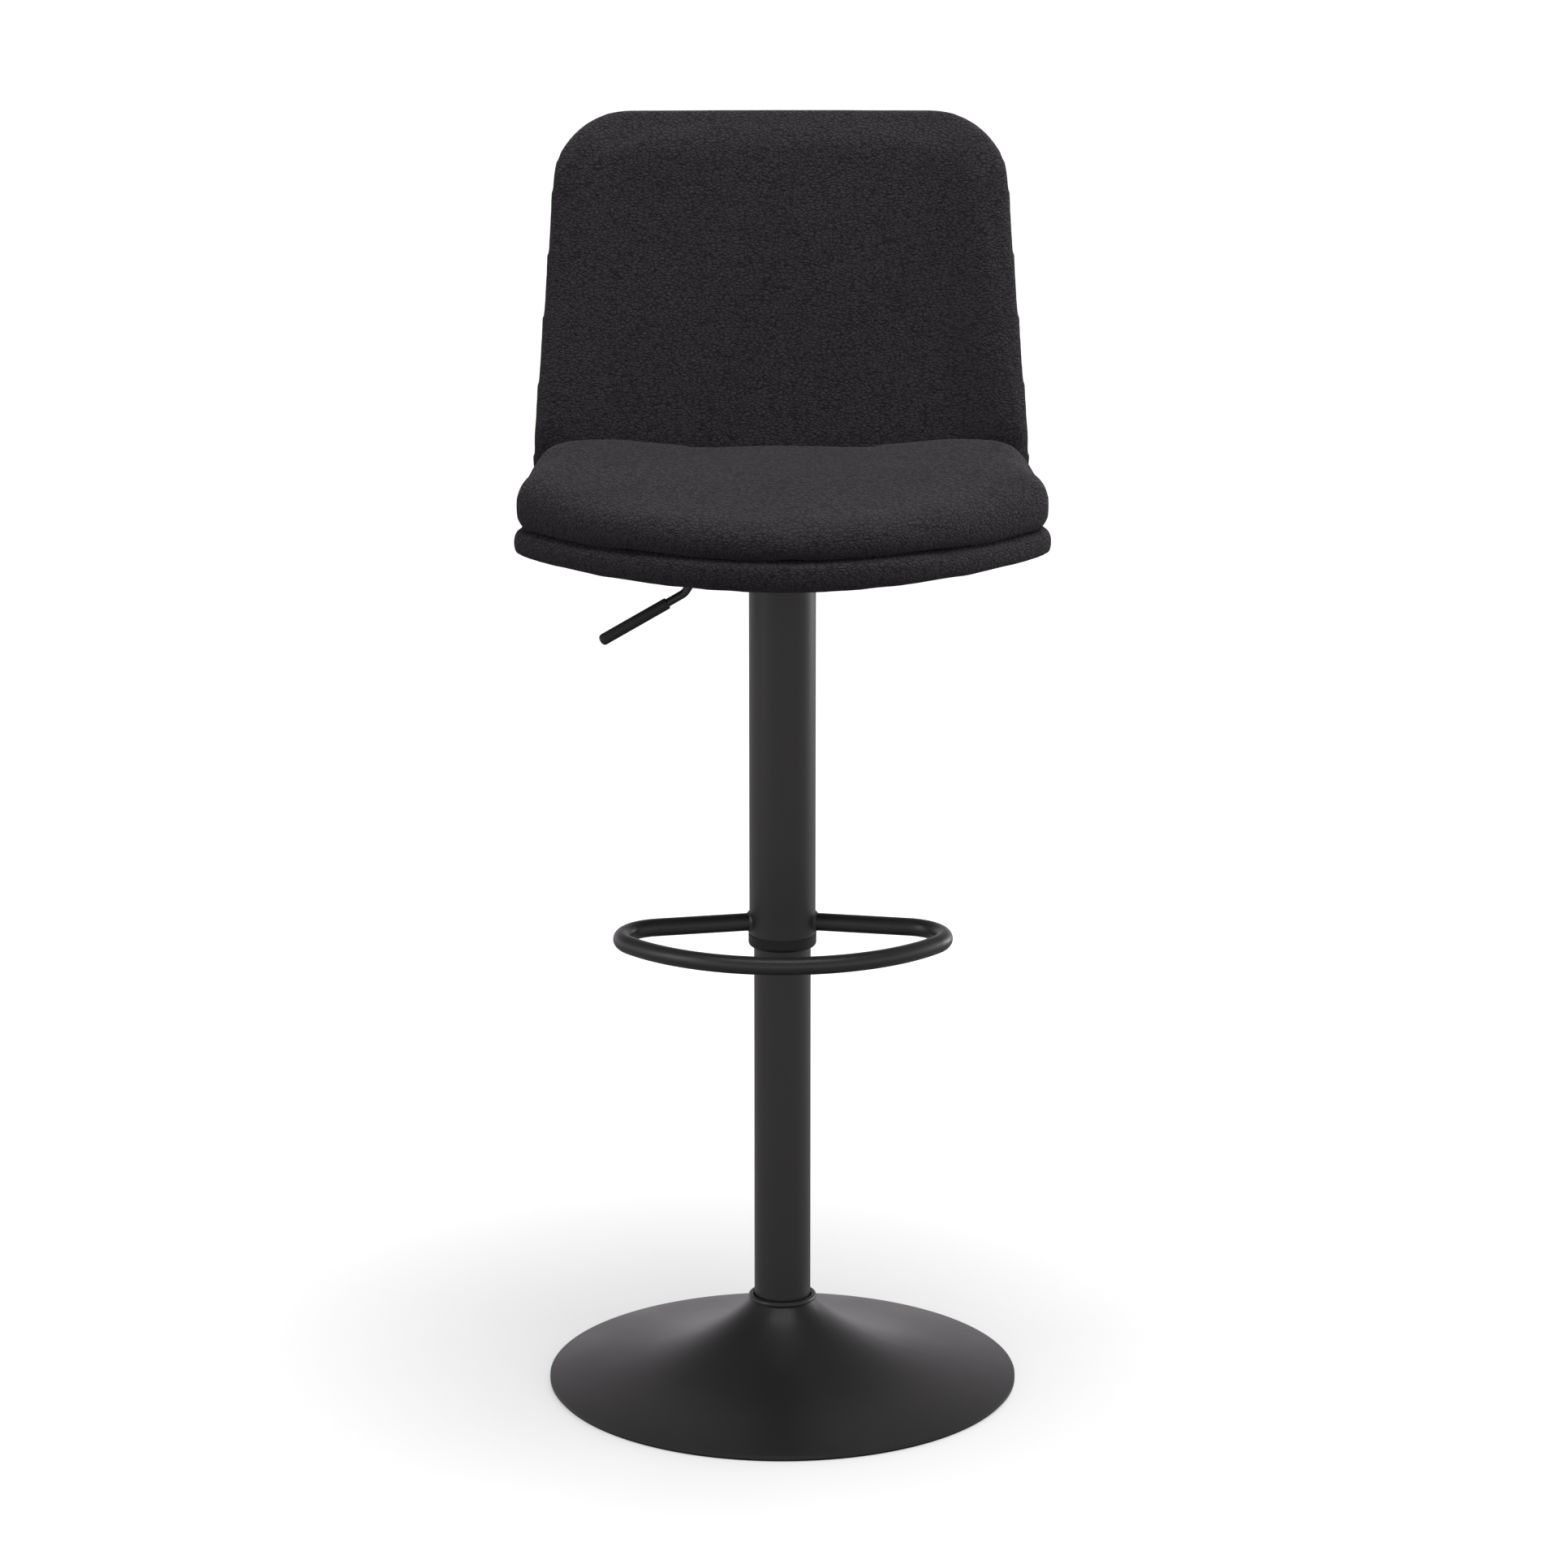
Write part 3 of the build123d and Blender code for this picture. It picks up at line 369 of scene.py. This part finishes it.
def patch(half, front_turn, rear_turn, across, along):
    """A grid that fills a mirrored outline. half is its right side, from front middle to rear middle,
    and the grid's corners sit at front_turn and rear_turn, as shares of that line's length."""
    steps = 1999
    fine = resampled(half, steps + 1)
    front_end, rear_start = int(front_turn * steps), int(rear_turn * steps)
    front = resampled(fine[: front_end + 1], across + 1)
    side = resampled(fine[front_end : rear_start + 1], along + 1)
    rear = resampled(fine[rear_start:], across + 1)[::-1]
    flip = np.array([-1.0, 1.0])
    front = np.r_[front[:0:-1] * flip, front]
    rear = np.r_[rear[:0:-1] * flip, rear]
    v = np.linspace(0, 1, along + 1)[:, None, None]
    w = np.linspace(0, 1, 2 * across + 1)[None, :, None]
    left = side * flip
    corners = (1 - v) * ((1 - w) * front[0] + w * front[-1]) + v * ((1 - w) * rear[0] + w * rear[-1])
    return (1 - v) * front[None] + v * rear[None] + (1 - w) * left[:, None] + w * side[:, None] - corners


def border(grid):
    """Grid indices once round the edge, counter-clockwise from above."""
    rows, cols = grid.shape[:2]
    way = [(0, c) for c in range(cols)] + [(r, cols - 1) for r in range(1, rows)]
    way += [(rows - 1, c) for c in range(cols - 2, -1, -1)] + [(r, 0) for r in range(rows - 2, 0, -1)]
    return way


def pad_mesh(name, grid, rim, place):
    """A closed padded form. grid fills the flat core, rim is a list of (offset beyond the core, level)
    from the top round to the bottom, and place turns flat points, levels and offsets into space."""
    rows, cols = grid.shape[:2]
    way = border(grid)
    loop = np.array([grid[r, c] for r, c in way])
    along = np.roll(loop, -1, 0) - np.roll(loop, 1, 0)
    along /= np.linalg.norm(along, axis=1)[:, None]
    away = np.stack([along[:, 1], -along[:, 0]], 1)
    flat = grid.reshape(-1, 2)
    points = [place(flat, np.full(len(flat), 1.0), np.zeros(len(flat)))]
    points.append(place(flat, np.full(len(flat), -1.0), np.zeros(len(flat))))
    for offset, level in rim:
        full = np.full(len(loop), offset)
        points.append(place(loop, np.full(len(loop), level), full, away))
    verts = np.concatenate(points)

    def index(sheet, r, c):
        return sheet * rows * cols + r * cols + c

    faces = []
    for r in range(rows - 1):
        for c in range(cols - 1):
            top = [index(0, r, c), index(0, r, c + 1), index(0, r + 1, c + 1), index(0, r + 1, c)]
            faces.append(top)
            faces.append([k + rows * cols for k in reversed(top)])
    rings = [[index(0, r, c) for r, c in way]]
    for k in range(len(rim)):
        first = 2 * rows * cols + k * len(way)
        rings.append(list(range(first, first + len(way))))
    rings.append([index(1, r, c) for r, c in way])
    for upper, lower in zip(rings[:-1], rings[1:]):
        for k in range(len(way)):
            n = (k + 1) % len(way)
            faces.append([upper[k], lower[k], lower[n], upper[n]])
    mesh = bpy.data.meshes.new(name)
    mesh.from_pydata([tuple(v) for v in verts], [], faces)
    piece = bpy.data.objects.new(name, mesh)
    bpy.context.scene.collection.objects.link(piece)
    shape = bmesh.new()
    shape.from_mesh(mesh)
    bmesh.ops.remove_doubles(shape, verts=shape.verts, dist=1e-5)
    bmesh.ops.recalc_face_normals(shape, faces=shape.faces)
    shape.to_mesh(mesh)
    shape.free()
    return piece


def rim_profile(top_power, bottom_power, steps=8):
    """(share of the rim's width, level) rows of a superellipse, from the top round to the bottom."""
    rows = []
    for k in range(1, 2 * steps):
        a = k / (2 * steps) * math.pi
        power = top_power if k < steps else bottom_power
        level = 0.0 if k == steps else math.copysign(abs(math.cos(a)) ** (2 / power), math.cos(a))
        rows.append((math.sin(a) ** (2 / power), level))
    return rows


def apply_modifiers(piece):
    """Turns what the modifiers make into the piece's own mesh."""
    depsgraph = bpy.context.evaluated_depsgraph_get()
    mesh = bpy.data.meshes.new_from_object(piece.evaluated_get(depsgraph))
    piece.modifiers.clear()
    old, piece.data = piece.data, mesh
    bpy.data.meshes.remove(old)


def read_points(piece):
    points = np.empty(len(piece.data.vertices) * 3)
    piece.data.vertices.foreach_get("co", points)
    return points.reshape(-1, 3)


def write_points(piece, points):
    piece.data.vertices.foreach_set("co", points.ravel())
    piece.data.update()


def remesh(piece, voxel):
    made = piece.modifiers.new("remesh", "REMESH")
    made.mode, made.voxel_size, made.use_smooth_shade = "VOXEL", voxel, True
    apply_modifiers(piece)


def relax(piece, rounds, factor=0.5):
    made = piece.modifiers.new("relax", "SMOOTH")
    made.iterations, made.factor = rounds, factor
    apply_modifiers(piece)


def swell(piece, cap):
    """Blows the cover up like packed foam, and lets no point move further than cap."""
    rest = read_points(piece)
    cloth = piece.modifiers.new("cloth", "CLOTH")
    settings = cloth.settings
    settings.quality = 5
    settings.mass = 0.3
    settings.tension_stiffness = settings.compression_stiffness = CLOTH_STIFFNESS
    settings.shear_stiffness = 5.0
    settings.bending_stiffness = 0.5
    settings.use_pressure = True
    settings.uniform_pressure_force = PRESSURE
    settings.effector_weights.gravity = 0.0
    cloth.collision_settings.use_collision = False
    cloth.point_cache.frame_start, cloth.point_cache.frame_end = 1, CLOTH_FRAMES
    for number in range(1, CLOTH_FRAMES + 1):
        bpy.context.scene.frame_set(number)
    apply_modifiers(piece)
    bpy.context.scene.frame_set(1)
    moved = read_points(piece) - rest
    far = np.linalg.norm(moved, axis=1)
    moved *= np.minimum(1.0, cap * np.tanh(far / cap) / np.maximum(far, 1e-9))[:, None]
    write_points(piece, rest + moved)


def refine(piece):
    """Divides the mesh once more and shades it smooth."""
    made = piece.modifiers.new("refine", "SUBSURF")
    made.levels = made.render_levels = 1
    apply_modifiers(piece)
    for face in piece.data.polygons:
        face.use_smooth = True


# ---------------------------------------------------------------- upholstered shell


class ShellPath:
    """The shell's middle surface: a flat pan, a bend, and the reclined back with its wings."""

    def __init__(self):
        self.pan_middle = (PAN_TOP + PAN_BOTTOM) / 2
        depth = BACK_THICKNESS / 2
        foot_y = BACK_FOOT[0] + depth * math.cos(RECLINE)
        foot_z = BACK_FOOT[1] - depth * math.sin(RECLINE)
        corner_y = foot_y - (foot_z - self.pan_middle) * math.tan(RECLINE)
        self.turn = math.pi / 2 - RECLINE
        reach = BEND_RADIUS * math.tan(self.turn / 2)
        self.bend_start = corner_y - reach
        self.bend_end = self.bend_start + BEND_RADIUS * self.turn
        self.back_y = corner_y + reach * math.sin(RECLINE)
        self.back_z = self.pan_middle + reach * math.cos(RECLINE)
        self.wing_turn = math.asin(WING_START / BACK_RADIUS)
        self.core_radius = BACK_RADIUS + depth
        self.wing_reach = WING_RADIUS + depth
        self.wing_x = (BACK_RADIUS - WING_RADIUS) * math.sin(self.wing_turn)
        self.wing_f = BACK_RADIUS - (BACK_RADIUS - WING_RADIUS) * math.cos(self.wing_turn)
        self.wing_u = self.core_radius * self.wing_turn

    def line(self, s):
        """Point (y, z) and forward normal (y, z) of the middle line at arc length s."""
        turn = np.clip((s - self.bend_start) / BEND_RADIUS, 0, self.turn)
        rise = np.maximum(s - self.bend_end, 0)
        y = np.minimum(s, self.bend_start) + BEND_RADIUS * np.sin(turn) + rise * math.sin(RECLINE)
        z = self.pan_middle + BEND_RADIUS * (1 - np.cos(turn)) + rise * math.cos(RECLINE)
        return y, z, -np.sin(turn), np.cos(turn)

    def section(self, u):
        """Point (x, forward) and slope angle of the back's section at arc length u from the middle."""
        side, u = np.sign(u), np.abs(u)
        inner = np.minimum(u, self.wing_u) / self.core_radius
        turn = self.wing_turn + np.maximum(u - self.wing_u, 0) / self.wing_reach
        on_wing = u > self.wing_u
        x = np.where(
            on_wing,
            self.wing_x + self.wing_reach * np.sin(turn),
            self.core_radius * np.sin(inner),
        )
        forward = np.where(
            on_wing,
            self.wing_f - self.wing_reach * np.cos(turn),
            BACK_RADIUS - self.core_radius * np.cos(inner),
        )
        return side * x, forward + BACK_THICKNESS / 2, side * np.where(on_wing, turn, inner)

    def section_u(self, x):
        """Arc length of the section at distance x from the middle."""
        turn = np.arcsin(np.clip((x - self.wing_x) / self.wing_reach, -1, 1))
        on_wing = self.wing_u + (turn - self.wing_turn) * self.wing_reach
        on_face = self.core_radius * np.arcsin(np.clip(x / self.core_radius, -1, 1))
        return np.where(x > self.core_radius * math.sin(self.wing_turn), on_wing, on_face)

    def curl(self, s):
        """How far the section's curve has come in: none on the pan, all of it on the back."""
        return smoothstep(self.bend_start - 0.012, self.bend_end + 0.035, s)

    def half_thickness(self, s):
        pan = (PAN_TOP - PAN_BOTTOM) / 2
        return pan + (BACK_THICKNESS / 2 - pan) * smoothstep(self.bend_start - 0.01, self.bend_end, s)

    def place(self, flat, level, offset, away=None):
        """Turns flat points (u, s) with a level from -1 to 1 through the thickness into space."""
        u, s = flat[:, 0].copy(), flat[:, 1].copy()
        half = self.half_thickness(s)
        if away is not None:
            width = self.rim_width(s)
            u, s = u + away[:, 0] * offset * width, s + away[:, 1] * offset * width
        y, z, ny, nz = self.line(s)
        x, forward, slope = self.section(u)
        curl = self.curl(s)
        x = u + (x - u) * curl
        forward, slope = forward * curl, slope * curl
        out = forward + np.cos(slope) * level * half
        side = x - np.sin(slope) * level * half
        out = out - pillow(side, z) * curl * np.maximum(level, 0)
        return np.stack([side, y + ny * out, z + nz * out - droop(side, level) * (1 - curl)], 1)

    def rim_width(self, s):
        """How wide the rounded edge is: narrow on the pan, half the thickness on the back."""
        share = smoothstep(self.bend_start - 0.03, self.bend_end + 0.02, s)
        return PAN_RIM + (BACK_THICKNESS / 2 - PAN_RIM) * share

    def outline(self):
        """The core's right half outline in flat (u, s), drawn in by the rim's width."""
        plan = seat_side()
        inset = plan - outward(plan) * self.rim_width(plan[:, 1])[:, None]
        pan = inset[inset[:, 1] < self.bend_start - 0.03]
        rim = BACK_THICKNESS / 2
        side_start, corner_lead = 0.85, 0.055
        lean = math.atan(BACK_SLOPE)
        corner_z = BACK_TOP - BACK_CORNER
        edge_x = BACK_FOOT_HALF - BACK_SLOPE * (corner_z - BACK_FOOT_LEVEL)
        corner_x = edge_x - BACK_CORNER / math.cos(lean)
        heights = np.linspace(side_start, corner_z + corner_lead * math.sin(lean), 40)[:-1]
        half_widths = BACK_FOOT_HALF - BACK_SLOPE * (heights - BACK_FOOT_LEVEL) - rim / math.cos(lean)
        side = np.stack([half_widths, heights], 1)
        angles = np.linspace(lean, math.pi / 2, 40)
        reach = BACK_CORNER - rim
        corner = np.stack([corner_x + reach * np.cos(angles), corner_z + reach * np.sin(angles)], 1)
        top = np.stack([np.linspace(corner_x, 0, 30)[1:], np.full(29, BACK_TOP - rim)], 1)
        front_view = np.concatenate([side, corner, top])
        u = self.section_u(front_view[:, 0])
        forward = self.section(u)[1]
        rise = (front_view[:, 1] - forward * math.sin(RECLINE) - self.back_z) / math.cos(RECLINE)
        back = np.stack([u, self.bend_end + rise], 1)
        return np.concatenate([pan, back])


def make_shell():
    """The pan and back as one upholstered shell."""
    path = ShellPath()
    grid = patch(path.outline(), 0.165, 0.83, 44, 120)
    shell = pad_mesh("shell_upholstery", grid, rim_profile(3.0, 4.6), path.place)
    remesh(shell, VOXEL)
    relax(shell, 3)
    swell(shell, 0.0022)
    relax(shell, 2)
    refine(shell)
    shell.data.materials.append(FINISHES["upholstery"])
    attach(shell, "carriage")
    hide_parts("pan_pad", "back_pad")


# ---------------------------------------------------------------- seat cushion


class CushionForm:
    """The loose cushion: flat below, crowned above, its rear tucked under the back's hollow face."""

    def __init__(self):
        self.path = ShellPath()

    def rear_y(self, x, z):
        """Y of the back's front face at a place across and a height."""
        _, forward, _ = self.path.section(self.path.section_u(np.abs(x)))
        return BACK_FOOT[0] + (z - BACK_FOOT[1]) * math.tan(RECLINE) - forward / math.cos(RECLINE)

    def outline(self):
        """The core's right half outline, drawn in by the rim's width."""
        side_end_y, rear_half_width, rear_height = 0.052, 0.180, 0.812
        plan = seat_side()
        inner = plan - outward(plan) * (CUSHION_INSET + CUSHION_RIM)
        side = inner[inner[:, 1] < side_end_y]
        across = np.linspace(rear_half_width, 0.0, 60)
        rear = np.stack([across, self.rear_y(across, rear_height) - CUSHION_REAR_GAP], 1)
        knee = np.array([side[-1][0] - 0.002, rear[0][1] + 0.004])
        t = np.linspace(0, 1, 20)[1:-1, None]
        corner = (1 - t) ** 2 * side[-1] + 2 * t * (1 - t) * knee + t**2 * rear[0]
        return np.concatenate([side, corner, rear])

    def top_height(self, x, y):
        """Height of the top: raised at the rear sides, dropping to the front, crowned across."""
        saddle = CUSHION_SADDLE * smoothstep(0.05, 0.19, np.abs(x)) * smoothstep(-0.10, 0.10, y)
        front = -CUSHION_FRONT_DROP * smoothstep(0.01, 0.205, -y)
        crown = CUSHION_CROWN * (1 - (x / 0.232) ** 2)
        return CUSHION_MIDDLE + saddle + front + crown

    def place(self, flat, level, offset, away=None):
        """Turns flat points with a level from -1 to 1 through the thickness into space."""
        x, y = flat[:, 0].copy(), flat[:, 1].copy()
        top = self.top_height(x, y)
        if away is not None:
            x, y = x + away[:, 0] * offset * CUSHION_RIM, y + away[:, 1] * offset * CUSHION_RIM
        bottom = CUSHION_BOTTOM - droop(x, 1)
        z = bottom + ((level + 1) / 2) ** LEVEL_SKEW * (top - bottom)
        return np.stack([x, y, z], 1)


def make_cushion():
    """The loose seat cushion."""
    form = CushionForm()
    grid = patch(form.outline(), 0.235, 0.735, 48, 60)
    cushion = pad_mesh("seat_cushion_cover", grid, rim_profile(2.05, 4.0), form.place)
    remesh(cushion, VOXEL)
    relax(cushion, 3)
    swell(cushion, 0.0035)
    relax(cushion, 6)
    refine(cushion)
    settle(cushion, form)
    cushion.data.materials.append(FINISHES["upholstery"])
    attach(cushion, "carriage")
    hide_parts("seat_cushion")


def settle(piece, form):
    """Rests the cushion on the pan and keeps its rear clear of the back."""
    pan_gap, back_gap, tucked_half_width = 0.0004, 0.0008, 0.20
    points = read_points(piece)
    points[:, 2] = np.maximum(points[:, 2], PAN_TOP + pan_gap - droop(points[:, 0], 1))
    limit = form.rear_y(points[:, 0], points[:, 2]) - back_gap
    inside = np.abs(points[:, 0]) < tucked_half_width
    points[:, 1] = np.where(inside, np.minimum(points[:, 1], limit), points[:, 1])
    write_points(piece, points)


# ---------------------------------------------------------------- studio


def floor_material():
    """White paper that glows, more so further off, so that only a faint shadow shows near the base."""
    m = Shader("floor")
    away = m.node("ShaderNodeVectorMath", {0: m.place}, operation="LENGTH").outputs["Value"]
    m.set(Base_Color=m.blend(m.spread(m.noise(0.6), 0.3, 0.7), grey(0.40), grey(0.42)), Roughness=0.9)
    glow = m.spread(away, 0.20, 1.0, 0.54, 1.0)
    m.set(Specular_IOR_Level=0.0, Emission_Color=glow, Emission_Strength=1.0)
    return m.material


def make_floor():
    """A floor that lights nothing and shows in no reflection."""
    mesh = bpy.data.meshes.new("floor")
    reach = 60.0
    corners = [(reach * x, reach * y, 0) for x, y in ((-1, -1), (1, -1), (1, 1), (-1, 1))]
    mesh.from_pydata(corners, [], [(0, 1, 2, 3)])
    floor = bpy.data.objects.new("floor", mesh)
    bpy.context.scene.collection.objects.link(floor)
    mesh.materials.append(floor_material())
    floor.visible_diffuse = floor.visible_glossy = False


def make_backdrop():
    """A white wall all round, far off, which only the camera sees."""
    radius, height, sides = 45.0, 60.0, 48
    angles = [2 * math.pi * k / sides for k in range(sides)]
    ring = [(radius * math.cos(angle), radius * math.sin(angle), 0.0) for angle in angles]
    verts = ring + [(x, y, height) for x, y, _ in ring]
    faces = [(k, (k + 1) % sides, sides + (k + 1) % sides, sides + k) for k in range(sides)]
    mesh = bpy.data.meshes.new("backdrop")
    mesh.from_pydata(verts, [], faces)
    mesh.materials.append(floor_material())
    wall = bpy.data.objects.new("backdrop", mesh)
    bpy.context.scene.collection.objects.link(wall)
    wall.visible_diffuse = wall.visible_glossy = wall.visible_shadow = False


def make_light(name, place, aim, size, power, height=None, glossy=True):
    """A soft box: size wide, height tall, left out of reflections unless glossy."""
    data = bpy.data.lights.new(name, "AREA")
    data.energy = power
    data.shape = "RECTANGLE"
    data.size, data.size_y = size, height or size
    light = bpy.data.objects.new(name, data)
    light.location = place
    light.rotation_euler = (Vector(aim) - Vector(place)).to_track_quat("-Z", "Y").to_euler()
    light.visible_glossy = glossy
    bpy.context.scene.collection.objects.link(light)


def make_world():
    """A studio's surroundings: brightest at the horizon, dimmer below it, dim overhead."""
    world = bpy.data.worlds.new("studio")
    world.use_nodes = True
    tree = world.node_tree
    up = tree.nodes.new("ShaderNodeSeparateXYZ")
    tree.links.new(tree.nodes.new("ShaderNodeTexCoord").outputs["Generated"], up.inputs[0])
    height = tree.nodes.new("ShaderNodeMapRange")
    height.inputs["From Min"].default_value = -1.0
    tree.links.new(up.outputs["Z"], height.inputs["Value"])
    ramp = tree.nodes.new("ShaderNodeValToRGB")
    tree.links.new(height.outputs["Result"], ramp.inputs[0])
    stops = ramp.color_ramp.elements
    stops[0].position, stops[0].color = 0.0, lilac(0.15)
    stops[1].position, stops[1].color = 1.0, lilac(0.08)
    for elevation, level in ((-0.22, 0.25), (-0.05, 0.60), (0.10, 0.66), (0.24, 0.40), (0.52, 0.12)):
        stops.new((elevation + 1) / 2).color = lilac(level)
    background = tree.nodes["Background"]
    tree.links.new(ramp.outputs[0], background.inputs["Color"])
    background.inputs["Strength"].default_value = 1.0
    bpy.context.scene.world = world


def make_studio():
    """Floor, backdrop, surroundings and soft boxes, shown without a film curve."""
    make_floor()
    make_backdrop()
    make_world()
    seat, back = (0, 0, 0.8), (0, 0, 0.9)
    make_light("top_box", (0.5, -0.5, 2.95), seat, size=2.0, power=58.0, glossy=False)
    make_light("key_box", (2.2, -1.8, 2.1), back, size=1.2, power=10.0, glossy=False)
    make_light("rear_box", (0.8, 3.2, 2.0), back, size=1.6, power=26.0, glossy=False)
    make_light("strip", (0.0, -0.9, 2.9), (0, -0.1, 0.5), size=2.2, power=9.0, height=0.5)
    make_light("left_box", (-2.6, -1.2, 1.6), back, size=0.8, power=9.0, height=1.6)
    make_light("right_box", (2.4, 1.4, 0.7), (0, 0, 0.2), size=1.2, power=12.0, height=0.8)
    bpy.context.scene.view_settings.view_transform = "Standard"


def make_camera():
    """The camera of the catalogue picture, in front and looking a little down."""
    azimuth, tilt = math.radians(-0.5), math.radians(13.79)
    distance, height, sideways = 4.307, 1.615, 0.0014
    data = bpy.data.cameras.new("camera")
    data.sensor_width = 36.0
    data.lens = 114.7
    camera = bpy.data.objects.new("camera", data)
    camera.location = (
        distance * math.sin(azimuth) + sideways * math.cos(azimuth),
        -distance * math.cos(azimuth) + sideways * math.sin(azimuth),
        height,
    )
    camera.rotation_euler = (math.pi / 2 - tilt, 0, azimuth)
    bpy.context.scene.collection.objects.link(camera)
    bpy.context.scene.camera = camera


make_camera()
dress_cad()
make_shell()
make_cushion()
make_studio()
